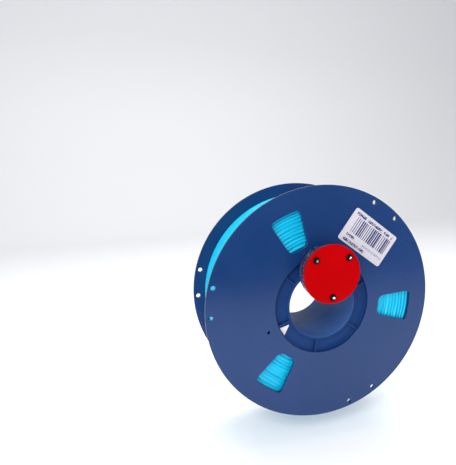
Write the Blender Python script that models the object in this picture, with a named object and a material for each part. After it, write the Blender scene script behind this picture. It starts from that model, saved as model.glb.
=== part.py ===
"""A full filament spool hanging on its bearing roller between two wall hubs.

Metres, +Z up. The spool turns about Y through the origin, and its labelled front faces -Y.
Each hub clamps a thin wall between a round outer plate and a backing plate, and its cradle
holds a ball bearing. The roller runs between the two bearings, through the spool's bore.
"""

from math import asin, ceil, cos, degrees, pi, radians, sin, sqrt, tan

import bmesh
import bpy
from mathutils import Vector

# ---- driving dimensions -----------------------------------------------------------------
GAP = 0.0003                      # between pieces that rest on each other
RUNNING_GAP = 0.0002              # radial, inside the bearings and on the shaft

SPOOL_DIAMETER = 0.200
SPOOL_WIDTH = 0.065
FLANGE_THICKNESS = 0.003
EDGE_ROUNDING = 0.0007
BARREL_DIAMETER = 0.098
BARREL_WALL = 0.002
BORE_DIAMETER = 0.058
BORE_WALL = 0.0025
BORE_LIP_DROP = 0.0008            # bore lip below the flange face
RECESS_DEPTH = 0.0035
RECESS_FLOOR = 0.002
RECESS_MARGIN = 0.005             # recess edge inside the barrel's inner wall
RIB_COUNT = 6
RIB_THICKNESS = 0.0016
RIB_DROP = 0.001                  # rib top below the flange face
RIB_START = 21.0                  # degrees, as all angles here, anticlockwise from +X
LAP_LENGTH = 0.006                # front barrel's spigot inside the rear barrel
LAP_WALL = 0.0018

FEATURE_REPEAT = 3                # windows and rim hole pairs around a flange
FIRST_PAIR_ANGLE = 53.0
RIM_HOLE_DIAMETER = 0.004
RIM_HOLE_EDGE = 0.0042            # hole centre in from the rim
RIM_HOLE_SPACING = 0.0248
WINDOW_RIM_MARGIN = 0.0165
WINDOW_BARREL_MARGIN = 0.0032
WINDOW_OUTER_WIDTH = 0.0272
WINDOW_INNER_WIDTH = 0.0165
WINDOW_OUTER_FILLET = 0.003
WINDOW_INNER_FILLET = 0.006
START_HOLE_DIAMETER = 0.0025      # holds the filament's inner end
START_HOLE_ANGLE = 201.0

FILAMENT_DIAMETER = 0.00175
WINDING_RIM_MARGIN = 0.0103       # full layers' surface below the flange rim
TOP_LAYER_SHARE = 0.30            # of the width, from the front flange
PARK_DEPTH = 0.0022               # parked end: strand's centre past the flange's inner face
PARK_REACH = 0.0012               # and past its outer face, where it turns to the next hole
PARK_BOW = 0.0022                 # bow of the stretch between the holes
PARK_APPROACH = 0.0060            # where the crossing strand nears the flange
PARK_TAIL = 0.0034

LABEL_LENGTH = 0.0478
LABEL_HEIGHT = 0.030
LABEL_FILLET = 0.002
LABEL_THICKNESS = 0.0003
MARK_ANGLE = 210.0
MARK_BASE = 0.0078
MARK_MARGIN = 0.0008
MARK_LEAN = -3.0                  # degrees that the mark's tip leans

SHAFT_DIAMETER = 0.008
SLEEVE_DIAMETER = 0.011
WASHER_THICKNESS = 0.0009
WASHER_RIM_DROP = 0.0001
BEARING_DIAMETER = 0.016
BEARING_WIDTH = 0.004
BALL_COUNT = 7
BALL_SHARE = 0.46                 # ball diameter within the space between bore and rim
SHOULDER_SHARE = 0.8              # race shoulder up the ball
CAGE_SHARE = 0.9                  # cage section within the ball
SHIELD_THICKNESS = 0.00025

HUB_DIAMETER = 0.048
HUB_INNER_DROP = 0.001            # cradle and backing radius inside the plate's
HUB_GAP = 0.0045                  # flange face to cradle
CRADLE_THICKNESS = 0.005
BACKING_THICKNESS = 0.0022
WALL_THICKNESS = 0.003            # the wall that the hub clamps
PLATE_THICKNESS = 0.002
PLATE_CHAMFER = 0.0003
NOTCH_WALL = 0.0015               # cradle between the notch and the lowest screw
SCREW_ANGLES = (41.5, 138.5, 270.0)
SCREW_EDGE = 0.0052               # screw centre in from the plate's edge
SCREW_SHANK_DIAMETER = 0.0029
SCREW_HEAD_DIAMETER = 0.0057
SCREW_HEAD_HEIGHT = 0.00165
SCREW_HEAD_SHAPE = ((1.0, 0.2), (0.92, 0.55), (0.75, 0.85), (0.52, 1.0))  # radius, height shares
SCREW_SOCKET_FLATS = 0.002
SCREW_SOCKET_DEPTH = 0.0011
SCREW_PROTRUSION = 0.0006         # past the nut
NUT_FLATS = 0.0055
NUT_HEIGHT = 0.0024

FINE, DISC, MEDIUM, COARSE = 56, 40, 32, 24  # segments around, from large pieces to small

# ---- what follows from them -------------------------------------------------------------
RIM_R = SPOOL_DIAMETER / 2
BARREL_R = BARREL_DIAMETER / 2
BARREL_INNER_R = BARREL_R - BARREL_WALL
BORE_R = BORE_DIAMETER / 2
BORE_OUTER_R = BORE_R + BORE_WALL
RECESS_R = BARREL_INNER_R - RECESS_MARGIN
FACE = SPOOL_WIDTH / 2                           # axial distances from the mid-plane
FLANGE_INNER = FACE - FLANGE_THICKNESS
RECESS_FACE = FACE - RECESS_DEPTH
RIM_HOLE_R = RIM_R - RIM_HOLE_EDGE
WINDOW_OUTER_R = RIM_R - WINDOW_RIM_MARGIN
WINDOW_INNER_R = BARREL_R + WINDOW_BARREL_MARGIN
WINDOW_STEP = 360.0 / FEATURE_REPEAT
WINDING_R = RIM_R - WINDING_RIM_MARGIN
WINDING_HALF = FLANGE_INNER - GAP
TOP_LAYER_R = WINDING_R + FILAMENT_DIAMETER * sqrt(3) / 2
TOP_LAYER_END = -WINDING_HALF + 2 * WINDING_HALF * TOP_LAYER_SHARE
LABEL_R = (WINDOW_OUTER_R + WINDOW_INNER_R) / 2

SLEEVE_R = SLEEVE_DIAMETER / 2
SHAFT_R = SHAFT_DIAMETER / 2
ROLLER_Z = BORE_R - SLEEVE_R - GAP               # the bore's top hangs on the sleeve
CRADLE_IN = FACE + HUB_GAP
CRADLE_OUT = CRADLE_IN + CRADLE_THICKNESS
BACKING_IN = CRADLE_OUT + GAP
BACKING_OUT = BACKING_IN + BACKING_THICKNESS
PLATE_IN = BACKING_OUT + WALL_THICKNESS
PLATE_OUT = PLATE_IN + PLATE_THICKNESS
BEARING_MID = (CRADLE_IN + CRADLE_OUT) / 2
BEARING_R = BEARING_DIAMETER / 2
BEARING_BORE_R = SHAFT_R + RUNNING_GAP
WASHER_IN = BEARING_MID - BEARING_WIDTH / 2 - GAP - WASHER_THICKNESS
SHAFT_END = BEARING_MID + BEARING_WIDTH / 2 + RUNNING_GAP
NOTCH_R = BEARING_R + GAP
PLATE_R = HUB_DIAMETER / 2
INNER_HUB_R = PLATE_R - HUB_INNER_DROP
SCREW_CIRCLE_R = PLATE_R - SCREW_EDGE
SCREW_SHANK_R = SCREW_SHANK_DIAMETER / 2
SCREW_HOLE_R = SCREW_SHANK_R + GAP
HUB_Z = ROLLER_Z + SCREW_CIRCLE_R - SCREW_HOLE_R - NOTCH_WALL - NOTCH_R

COLOURS = {
    "spool_plastic": ((0.012, 0.022, 0.060, 1.0), 0.35, 0.0),
    "filament": ((0.010, 0.370, 0.760, 1.0), 0.28, 0.0),
    "label_paper": ((0.850, 0.850, 0.870, 1.0), 0.60, 0.0),
    "mark_white": ((0.800, 0.800, 0.800, 1.0), 0.50, 0.0),
    "red_plate": ((0.650, 0.004, 0.008, 1.0), 0.30, 0.0),
    "frosted_clear": ((0.620, 0.640, 0.700, 1.0), 0.35, 0.0),
    "tinted_clear": ((0.620, 0.520, 0.800, 1.0), 0.10, 0.0),
    "black_screw": ((0.012, 0.012, 0.013, 1.0), 0.35, 0.6),
    "zinc_nut": ((0.600, 0.600, 0.610, 1.0), 0.35, 1.0),
    "bearing_steel": ((0.640, 0.640, 0.660, 1.0), 0.22, 1.0),
    "shaft_steel": ((0.560, 0.570, 0.590, 1.0), 0.28, 1.0),
    "sleeve_plastic": ((0.720, 0.780, 0.860, 1.0), 0.35, 0.0),
}


# ---- helpers ----------------------------------------------------------------------------
def clear_scene():
    """Start from an empty scene."""
    for obj in list(bpy.data.objects):
        bpy.data.objects.remove(obj, do_unlink=True)


def make_material(slot):
    """A Principled material for one of the named finishes."""
    colour, roughness, metallic = COLOURS[slot]
    material = bpy.data.materials.get(slot) or bpy.data.materials.new(slot)
    material.use_nodes = True
    shader = material.node_tree.nodes["Principled BSDF"]
    shader.inputs["Base Color"].default_value = colour
    shader.inputs["Roughness"].default_value = roughness
    shader.inputs["Metallic"].default_value = metallic
    material.diffuse_color = colour
    return material


def make_empty(name, location):
    """An empty that carries the pieces of one body or one hub."""
    empty = bpy.data.objects.new(name, None)
    empty.empty_display_size = 0.02
    empty.location = location
    bpy.context.collection.objects.link(empty)
    return empty


def mesh_from(bm, name):
    """Close the bmesh into a mesh whose faces point out, smooth except at sharp edges."""
    bmesh.ops.recalc_face_normals(bm, faces=bm.faces)
    mesh = bpy.data.meshes.new(name)
    bm.to_mesh(mesh)
    bm.free()
    mesh.shade_smooth()
    mesh.set_sharp_from_angle(angle=radians(32))
    return mesh


def add_object(name, mesh, parent, slot=None, location=(0, 0, 0), rotation=(0, 0, 0)):
    """Place a mesh as a named piece under its body's empty."""
    obj = bpy.data.objects.new(name, mesh)
    obj.location = location
    obj.rotation_euler = rotation
    obj.parent = parent
    bpy.context.collection.objects.link(obj)
    if slot:
        material = make_material(slot)
        if not mesh.materials:
            mesh.materials.append(material)
    return obj


def add_tool(name, mesh, parent):
    """A cutter or an added shape for a Boolean, left out of the model itself."""
    tool = add_object(name, mesh, parent)
    tool.hide_render = True
    tool.display_type = "WIRE"
    return tool


def add_boolean(obj, tool, operation="DIFFERENCE"):
    """Cut or join with the exact solver."""
    modifier = obj.modifiers.new(tool.name, "BOOLEAN")
    modifier.object = tool
    modifier.operation = operation
    modifier.solver = "EXACT"


def polar(radius, angle):
    """(x, z) at a radius and an angle in degrees."""
    return radius * cos(radians(angle)), radius * sin(radians(angle))


def ring_loop(bm, radius, y, segments, centre=(0.0, 0.0)):
    """One circle of vertices about the Y axis."""
    loop = []
    for step in range(segments):
        x, z = polar(radius, 360.0 * step / segments)
        loop.append(bm.verts.new((centre[0] + x, y, centre[1] + z)))
    return loop


def skin(bm, loops, closed):
    """Faces between neighbouring loops, and end caps where the skin isn't closed."""
    count = len(loops)
    for index in range(count if closed else count - 1):
        near, far = loops[index], loops[(index + 1) % count]
        size = len(near)
        for step in range(size):
            after = (step + 1) % size
            bm.faces.new((near[step], near[after], far[after], far[step]))
    if not closed:
        bm.faces.new(loops[0])
        bm.faces.new(list(reversed(loops[-1])))


def turned(profile, segments, closed=True, centre=(0.0, 0.0), bm=None):
    """Turn a (radius, y) profile about Y. An open profile gets flat end caps."""
    bm = bm or bmesh.new()
    skin(bm, [ring_loop(bm, radius, y, segments, centre) for radius, y in profile], closed)
    return bm


def tube_profile(inner, outer, y_low, y_high):
    """The square section of a plain ring."""
    return [(inner, y_low), (outer, y_low), (outer, y_high), (inner, y_high)]


def extruded(outline, y_low, y_high, bm=None):
    """A prism along Y from an (x, z) outline."""
    bm = bm or bmesh.new()
    low = [bm.verts.new((x, y_low, z)) for x, z in outline]
    high = [bm.verts.new((x, y_high, z)) for x, z in outline]
    skin(bm, [low, high], closed=False)
    return bm


def rounded(corners, steps=4):
    """An outline from (x, z, fillet) corners, with each fillet drawn as an arc."""
    outline = []
    for index, (x, z, fillet) in enumerate(corners):
        corner = Vector((x, z))
        if fillet <= 0:
            outline.append((x, z))
            continue
        before = Vector(corners[index - 1][:2]) - corner
        after = Vector(corners[(index + 1) % len(corners)][:2]) - corner
        half = before.angle(after) / 2
        reach = fillet / tan(half)
        centre = corner + (before.normalized() + after.normalized()).normalized() * fillet / sin(half)
        start = corner + before.normalized() * reach - centre
        end = corner + after.normalized() * reach - centre
        sweep = start.angle_signed(end)
        for step in range(steps + 1):
            turn = -sweep * step / steps
            outline.append((centre.x + start.x * cos(turn) - start.y * sin(turn),
                            centre.y + start.x * sin(turn) + start.y * cos(turn)))
    return outline


def turned_outline(outline, angle, radius=0.0):
    """Move an outline out along +X by a radius, then turn it about the axis."""
    turn = radians(angle)
    return [((x + radius) * cos(turn) - z * sin(turn), (x + radius) * sin(turn) + z * cos(turn))
            for x, z in outline]


def hexagon_radius(flats, angle):
    """Distance from a hexagon's centre to its edge at an angle in degrees."""
    return flats / 2 / cos(radians((angle + 30.0) % 60.0 - 30.0))


def smooth_route(points, spacing):
    """Points at an even spacing along a Catmull-Rom curve through a route's own points."""
    ends = [2 * points[0] - points[1], *points, 2 * points[-1] - points[-2]]
    route = []
    for index in range(1, len(ends) - 2):
        a, b, c, d = ends[index - 1:index + 3]
        steps = max(2, ceil((c - b).length / spacing))
        for step in range(steps):
            t = step / steps
            route.append(0.5 * (2 * b + (c - a) * t + (2 * a - 5 * b + 4 * c - d) * t ** 2
                                + (3 * b - a - 3 * c + d) * t ** 3))
    route.append(points[-1])
    return route


# ---- the spool --------------------------------------------------------------------------
def half_profile(spigot):
    """Section of one spool half as (radius, distance from the mid-plane towards its face)."""
    edge = EDGE_ROUNDING
    lip = FACE - BORE_LIP_DROP
    mid = GAP / 2
    profile = [
        (BORE_R, mid), (BORE_R, lip - edge), (BORE_R + edge, lip), (BORE_OUTER_R, lip),
        (BORE_OUTER_R, RECESS_FACE), (RECESS_R, RECESS_FACE), (RECESS_R, FACE - edge),
        (RECESS_R + edge, FACE), (RIM_R - edge, FACE), (RIM_R, FACE - edge),
        (RIM_R, FLANGE_INNER + edge), (RIM_R - edge, FLANGE_INNER), (BARREL_R, FLANGE_INNER),
        (BARREL_R, mid),
    ]
    if spigot:
        outer = BARREL_INNER_R - GAP
        profile += [(outer, mid), (outer, -LAP_LENGTH), (outer - LAP_WALL, -LAP_LENGTH),
                    (outer - LAP_WALL, LAP_LENGTH / 2), (BARREL_INNER_R, LAP_LENGTH)]
    else:
        profile += [(BARREL_INNER_R, mid)]
    floor = RECESS_FACE - RECESS_FLOOR
    return profile + [(BARREL_INNER_R, floor), (BORE_OUTER_R, floor), (BORE_OUTER_R, mid)]


def window_outline():
    """A window about +X: a rounded wedge whose outer edge follows the rim."""
    outer, inner = WINDOW_OUTER_WIDTH / 2, WINDOW_INNER_WIDTH / 2
    reach = sqrt(WINDOW_OUTER_R ** 2 - outer ** 2)
    corners = [(WINDOW_INNER_R, -inner, WINDOW_INNER_FILLET), (reach, -outer, WINDOW_OUTER_FILLET)]
    for share in (-0.35, 0.0, 0.35):
        z = share * WINDOW_OUTER_WIDTH
        corners.append((sqrt(WINDOW_OUTER_R ** 2 - z ** 2), z, 0.0))
    corners += [(reach, outer, WINDOW_OUTER_FILLET), (WINDOW_INNER_R, inner, WINDOW_INNER_FILLET)]
    return rounded(corners)


def rim_hole_angles():
    """Angles of the rim holes, in pairs."""
    half = degrees(asin(RIM_HOLE_SPACING / 2 / RIM_HOLE_R))
    return [FIRST_PAIR_ANGLE + WINDOW_STEP * index + side * half
            for index in range(FEATURE_REPEAT) for side in (-1, 1)]


def flange_cutters():
    """Windows, rim holes and the filament's start hole, long enough for one flange."""
    low, high = FLANGE_INNER - FLANGE_THICKNESS, FACE + FLANGE_THICKNESS
    bm = bmesh.new()
    for index in range(FEATURE_REPEAT):
        angle = FIRST_PAIR_ANGLE + WINDOW_STEP * (index + 0.5)
        extruded(turned_outline(window_outline(), angle), low, high, bm)
    hole_r = RIM_HOLE_DIAMETER / 2
    for angle in rim_hole_angles():
        centre = polar(RIM_HOLE_R, angle)
        turned([(hole_r, low), (hole_r, high)], 16, False, centre, bm)
    start_r = START_HOLE_DIAMETER / 2
    start = polar(BARREL_R + START_HOLE_DIAMETER, START_HOLE_ANGLE)
    turned([(start_r, low), (start_r, high)], 12, False, start, bm)
    return bm


def recess_ribs():
    """Radial ribs across the recess, sunk a little into its floor and walls."""
    sink = BORE_WALL / 4
    inner, outer = BORE_OUTER_R - sink, RECESS_R + sink
    half = RIB_THICKNESS / 2
    bar = [(inner, -half), (outer, -half), (outer, half), (inner, half)]
    bm = bmesh.new()
    for index in range(RIB_COUNT):
        angle = RIB_START + 360.0 * index / RIB_COUNT
        extruded(turned_outline(bar, angle), RECESS_FACE - sink, FACE - RIB_DROP, bm)
    return bm


def flipped(bm, side):
    """Mirror a shape made for the rear (+Y) to the front when side is -1."""
    for vert in bm.verts:
        vert.co.y *= side
    return bm


def build_spool_half(end, side, axis):
    """A flange with its half of the barrel and of the bore tube, in one moulding."""
    name = f"{end}_spool_half"
    shell = mesh_from(flipped(turned(half_profile(side < 0), FINE), side), name)
    half = add_object(name, shell, axis, "spool_plastic")
    ribs = add_tool(f"{name}_ribs", mesh_from(flipped(recess_ribs(), side), "ribs"), axis)
    cutters = add_tool(f"{name}_cutters", mesh_from(flipped(flange_cutters(), side), "cuts"), axis)
    add_boolean(half, ribs, "UNION")
    add_boolean(half, cutters)


def build_winding(axis):
    """The wound filament as one ring, a layer higher over its front share."""
    inner = BARREL_R + GAP
    profile = [
        (inner, -WINDING_HALF), (TOP_LAYER_R, -WINDING_HALF), (TOP_LAYER_R, TOP_LAYER_END),
        (WINDING_R, TOP_LAYER_END), (WINDING_R, WINDING_HALF), (inner, WINDING_HALF),
    ]
    add_object("filament_winding", mesh_from(turned(profile, FINE), "winding"), axis, "filament")


def build_filament_end(axis):
    """The last turn crosses to the rear flange and is parked through a pair of rim holes."""
    lie = WINDING_R + GAP + FILAMENT_DIAMETER / 2
    beside = TOP_LAYER_END + GAP + FILAMENT_DIAMETER / 2
    near, far = sorted(rim_hole_angles()[-2:])
    inside, within, outside = FLANGE_INNER - PARK_DEPTH, FACE - FLANGE_THICKNESS / 2, FACE + PARK_REACH
    clear = FACE + GAP + FILAMENT_DIAMETER / 2
    crossing, climb = inside - PARK_APPROACH - beside, RIM_HOLE_R - lie
    route = [(far + 80, lie, beside), (far + 62, lie, beside)]
    for ahead, up, over in ((46, 0.0, 0.06), (34, 0.08, 0.38), (22, 0.31, 0.79), (11, 0.65, 1.0)):
        route.append((far + ahead, lie + up * climb, beside + over * crossing))
    route += [
        (far + 5, RIM_HOLE_R - 0.12 * climb, inside - 0.4 * PARK_APPROACH), (far + 0.9, RIM_HOLE_R, inside),
        (far, RIM_HOLE_R, within), (far - 0.6, RIM_HOLE_R, outside),
        (far - 3.0, RIM_HOLE_R, clear + 0.7 * PARK_BOW), ((near + far) / 2, RIM_HOLE_R, clear + PARK_BOW),
        (near + 3.0, RIM_HOLE_R, clear + 0.7 * PARK_BOW), (near + 0.6, RIM_HOLE_R, outside),
        (near, RIM_HOLE_R, within), (near - 0.9, RIM_HOLE_R, inside),
        (near - 4.0, RIM_HOLE_R - 0.1 * climb, inside - PARK_TAIL),
    ]
    unrolled = [Vector((radians(angle) * lie, radius, y)) for angle, radius, y in route]
    curve = bpy.data.curves.new("filament_end", "CURVE")
    curve.dimensions = "3D"
    curve.bevel_depth = FILAMENT_DIAMETER / 2
    curve.bevel_resolution = 2
    curve.use_fill_caps = True
    path = smooth_route(unrolled, FILAMENT_DIAMETER * 2.5)
    spline = curve.splines.new("POLY")
    spline.points.add(len(path) - 1)
    for point, (along, radius, y) in zip(spline.points, path):
        x, z = polar(radius, degrees(along / lie))
        point.co = (x, y, z, 1.0)
    curve.materials.append(make_material("filament"))
    obj = bpy.data.objects.new("filament_end", curve)
    obj.parent = axis
    bpy.context.collection.objects.link(obj)


def build_label(axis):
    """A rounded paper label on the front flange, square to its radius."""
    across, along = LABEL_HEIGHT / 2, LABEL_LENGTH / 2
    outline = rounded([(-across, -along, LABEL_FILLET), (across, -along, LABEL_FILLET),
                       (across, along, LABEL_FILLET), (-across, along, LABEL_FILLET)])
    placed = turned_outline(outline, FIRST_PAIR_ANGLE, LABEL_R)
    bm = extruded(placed, -FACE - GAP - LABEL_THICKNESS, -FACE - GAP)
    add_object("spool_label", mesh_from(bm, "label"), axis, "label_paper")


def build_mark(axis):
    """A small white triangular arrow printed in the front recess."""
    base_r, tip_r = RECESS_R - MARK_MARGIN, BORE_OUTER_R + MARK_MARGIN
    half = degrees(MARK_BASE / 2 / base_r)
    base = [polar(base_r, MARK_ANGLE + turn) for turn in (half, -half)]
    corners = [polar(tip_r, MARK_ANGLE + MARK_LEAN), *base]
    bm = extruded(corners, -RECESS_FACE - GAP - LABEL_THICKNESS, -RECESS_FACE - GAP)
    add_object("arrow_mark", mesh_from(bm, "mark"), axis, "mark_white")


# ---- the roller and its bearings --------------------------------------------------------
def build_roller(axis):
    """The steel shaft, the plastic sleeve that carries the bore, and a washer at each end."""
    edge = RUNNING_GAP * 2
    shaft = [(SHAFT_R - edge, -SHAFT_END), (SHAFT_R, -SHAFT_END + edge), (SHAFT_R, SHAFT_END - edge),
             (SHAFT_R - edge, SHAFT_END)]
    mesh = mesh_from(turned(shaft, MEDIUM, closed=False), "shaft")
    add_object("roller_shaft", mesh, axis, "shaft_steel")
    length = WASHER_IN - GAP
    sleeve = tube_profile(BEARING_BORE_R, SLEEVE_R, -length, length)
    add_object("roller_sleeve", mesh_from(turned(sleeve, MEDIUM), "sleeve"), axis, "sleeve_plastic")
    washer_r = SLEEVE_R - WASHER_RIM_DROP
    washer = tube_profile(BEARING_BORE_R, washer_r, WASHER_IN, WASHER_IN + WASHER_THICKNESS)
    for end, side in (("front", -1), ("rear", 1)):
        mesh = mesh_from(flipped(turned(washer, COARSE), side), "washer")
        add_object(f"{end}_thrust_washer", mesh, axis, "bearing_steel")


def bearing_sizes():
    """Pitch radius, ball radius and the two raceway shoulder radii."""
    pitch = (BEARING_R + BEARING_BORE_R) / 2
    ball = (BEARING_R - BEARING_BORE_R) * BALL_SHARE / 2
    shoulder = ball * SHOULDER_SHARE
    return pitch, ball, pitch - shoulder, pitch + shoulder


def build_bearing(end, side, roller_axis, hub_axis, balls_axis):
    """Two grooved races, a ring of balls in their cage, and a shield on each side."""
    pitch, ball, inner_shoulder, outer_shoulder = bearing_sizes()
    mid, half = side * BEARING_MID, BEARING_WIDTH / 2
    groove = ball + RUNNING_GAP
    low, high = mid - half, mid + half
    lip = groove * SHOULDER_SHARE
    inner = [(BEARING_BORE_R, low), (inner_shoulder, low), (inner_shoulder, mid - lip), (pitch - groove, mid),
             (inner_shoulder, mid + lip), (inner_shoulder, high), (BEARING_BORE_R, high)]
    outer = [(outer_shoulder, low), (BEARING_R, low), (BEARING_R, high), (outer_shoulder, high),
             (outer_shoulder, mid + lip), (pitch + groove, mid), (outer_shoulder, mid - lip)]
    add_object(f"{end}_bearing_inner_race", mesh_from(turned(inner, COARSE), "inner_race"),
               roller_axis, "bearing_steel")
    add_object(f"{end}_bearing_outer_race", mesh_from(turned(outer, COARSE), "outer_race"),
               hub_axis, "bearing_steel")
    for place, direction in (("inboard", -side), ("outboard", side)):
        face = mid + direction * (half - RUNNING_GAP)
        ring = tube_profile(inner_shoulder + RUNNING_GAP, outer_shoulder - RUNNING_GAP,
                            face, face - direction * SHIELD_THICKNESS)
        add_object(f"{end}_bearing_{place}_shield", mesh_from(turned(ring, COARSE), "shield"),
                   hub_axis, "bearing_steel")
    half_cage = ball * CAGE_SHARE / 2
    section = tube_profile(pitch - half_cage, pitch + half_cage, mid - half_cage, mid + half_cage)
    cage = turned(section, COARSE)
    balls = bmesh.new()
    for index in range(BALL_COUNT):
        x, z = polar(pitch, 360.0 * (index + 0.5) / BALL_COUNT)
        new = bmesh.ops.create_icosphere(balls, subdivisions=2, radius=ball)
        bmesh.ops.translate(balls, verts=new["verts"], vec=(x, mid, z))
    name = f"{end}_bearing_balls"
    ring = add_object(name, mesh_from(cage, "cage"), balls_axis, "bearing_steel")
    add_boolean(ring, add_tool(f"{name}_set", mesh_from(balls, "balls"), balls_axis), "UNION")


# ---- the hubs ---------------------------------------------------------------------------
def screw_places():
    """(x, z) of the screws about the hub's centre, two above and one below."""
    return [polar(SCREW_CIRCLE_R, angle) for angle in SCREW_ANGLES]


def add_screw_holes(bm, low, high):
    """Clearance holes for the screws, past both faces of a plate."""
    for place in screw_places():
        turned([(SCREW_HOLE_R, low - GAP), (SCREW_HOLE_R, high + GAP)], 12, False, place, bm)
    return bm


def notch_outline():
    """The U that the bearing drops into, open at the cradle's top."""
    drop = ROLLER_Z - HUB_Z
    steps = MEDIUM // 2
    arc = [(NOTCH_R * cos(pi + pi * step / steps), drop + NOTCH_R * sin(pi + pi * step / steps))
           for step in range(steps + 1)]
    top = PLATE_R + NOTCH_R
    return arc + [(NOTCH_R, top), (-NOTCH_R, top)]


def build_disc(name, radius, low, high, side, axis, slot, extra_cut=None):
    """A round hub plate between two distances from the mid-plane, with its screw holes."""
    edge = radius - PLATE_CHAMFER
    profile = [(edge, low), (radius, low + PLATE_CHAMFER), (radius, high - PLATE_CHAMFER), (edge, high)]
    blank = mesh_from(flipped(turned(profile, DISC, closed=False), side), name)
    disc = add_object(name, blank, axis, slot)
    holes = add_screw_holes(bmesh.new(), low, high)
    add_boolean(disc, add_tool(f"{name}_holes", mesh_from(flipped(holes, side), "holes"), axis))
    if extra_cut:
        cut = extruded(extra_cut, low - GAP, high + GAP)
        add_boolean(disc, add_tool(f"{name}_notch", mesh_from(flipped(cut, side), "notch"), axis))


def carved(mesh, cutter, name):
    """A mesh with a hollow cut into it, made once and shared by its copies."""
    body = add_object(f"{name}_blank", mesh, None)
    tool = add_tool(f"{name}_tool", cutter, None)
    add_boolean(body, tool)
    bpy.context.view_layer.update()
    depsgraph = bpy.context.evaluated_depsgraph_get()
    result = bpy.data.meshes.new_from_object(body.evaluated_get(depsgraph))
    for obj in (body, tool):
        bpy.data.objects.remove(obj, do_unlink=True)
    return result


def screw_mesh():
    """A button-head screw along Y, its head's underside at y = 0 and its head towards -Y."""
    nut_face = CRADLE_IN - GAP - NUT_HEIGHT
    tip = PLATE_OUT + GAP - nut_face + SCREW_PROTRUSION
    head, height = SCREW_HEAD_DIAMETER / 2, SCREW_HEAD_HEIGHT
    profile = [(SCREW_SHANK_R - GAP, tip), (SCREW_SHANK_R, tip - GAP), (SCREW_SHANK_R, 0), (head, 0)]
    profile += [(out * head, -up * height) for out, up in SCREW_HEAD_SHAPE]
    blank = mesh_from(turned(profile, 16, closed=False), "screw_blank")
    hexagon = [polar(hexagon_radius(SCREW_SOCKET_FLATS, angle), angle) for angle in range(30, 390, 60)]
    socket = mesh_from(extruded(hexagon, -height - GAP, SCREW_SOCKET_DEPTH - height), "socket")
    return carved(blank, socket, "screw")


def nut_mesh():
    """A hexagon nut along Y, its seat at y = 0 and its body towards +Y."""
    bm = bmesh.new()
    angles = [30 * step for step in range(12)]
    loops = []
    for y, radius in ((0, None), (NUT_HEIGHT, None), (NUT_HEIGHT, SCREW_HOLE_R), (0, SCREW_HOLE_R)):
        places = [polar(radius or hexagon_radius(NUT_FLATS, angle + 30), angle) for angle in angles]
        loops.append([bm.verts.new((x, y, z)) for x, z in places])
    skin(bm, loops, closed=True)
    return mesh_from(bm, "nut")


def build_hub(end, side, axis, screw, nut):
    """Outer plate, backing plate and cradle, with the screws and nuts that clamp them."""
    build_disc(f"{end}_outer_plate", PLATE_R, PLATE_IN, PLATE_OUT, side, axis, "red_plate")
    build_disc(f"{end}_backing_plate", INNER_HUB_R, BACKING_IN, BACKING_OUT, side, axis, "frosted_clear")
    build_disc(f"{end}_cradle", INNER_HUB_R, CRADLE_IN, CRADLE_OUT, side, axis, "tinted_clear",
               notch_outline())
    turn = (0, 0, 0) if side < 0 else (0, 0, pi)
    for index, (x, z) in enumerate(screw_places(), 1):
        seat = (x, side * (PLATE_OUT + GAP), z)
        add_object(f"{end}_screw_{index}", screw, axis, "black_screw", seat, turn)
        seat = (x, side * (CRADLE_IN - GAP), z)
        add_object(f"{end}_nut_{index}", nut, axis, "zinc_nut", seat, turn)


def main():
    clear_scene()
    spool_axis = make_empty("spool_axis", (0, 0, 0))
    roller_axis = make_empty("roller_axis", (0, 0, ROLLER_Z))
    screw, nut = screw_mesh(), nut_mesh()
    for end, side in (("front", -1), ("rear", 1)):
        build_spool_half(end, side, spool_axis)
        hub_axis = make_empty(f"{end}_hub_axis", (0, 0, HUB_Z))
        seat_axis = make_empty(f"{end}_bearing_seat", (0, 0, ROLLER_Z))
        balls_axis = make_empty(f"{end}_balls_axis", (0, 0, ROLLER_Z))
        build_bearing(end, side, roller_axis, seat_axis, balls_axis)
        build_hub(end, side, hub_axis, screw, nut)
    build_winding(spool_axis)
    build_filament_end(spool_axis)
    build_label(spool_axis)
    build_mark(spool_axis)
    build_roller(roller_axis)


main()
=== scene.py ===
"""Looks for the filament spool on its roller and wall hubs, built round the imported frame.

Metres, +Z up, the spool's axis along Y with its labelled front towards -Y. The turning and
sheet-cut pieces stand for CAD nodes of the same outline, with finer edges and surfaces.
"""
import random
from math import asin, cos, degrees, hypot, pi, radians, sin, sqrt, tan

import bmesh
import bpy
from mathutils import Matrix, Vector, noise


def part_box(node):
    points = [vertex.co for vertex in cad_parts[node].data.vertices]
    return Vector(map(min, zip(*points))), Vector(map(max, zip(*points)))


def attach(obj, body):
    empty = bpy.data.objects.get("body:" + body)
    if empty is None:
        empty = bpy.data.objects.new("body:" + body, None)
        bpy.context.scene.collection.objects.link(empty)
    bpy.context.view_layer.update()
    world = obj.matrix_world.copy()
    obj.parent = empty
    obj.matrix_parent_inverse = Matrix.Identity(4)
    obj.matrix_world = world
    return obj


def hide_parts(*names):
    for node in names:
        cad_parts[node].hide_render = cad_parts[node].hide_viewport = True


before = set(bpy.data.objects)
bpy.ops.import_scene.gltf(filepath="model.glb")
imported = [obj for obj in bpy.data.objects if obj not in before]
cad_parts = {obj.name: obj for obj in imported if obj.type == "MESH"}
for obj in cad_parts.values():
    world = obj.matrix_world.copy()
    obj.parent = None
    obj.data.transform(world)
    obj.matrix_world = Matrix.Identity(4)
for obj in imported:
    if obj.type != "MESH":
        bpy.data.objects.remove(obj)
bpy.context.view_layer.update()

ENDS = (("front", -1), ("rear", 1))

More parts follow.
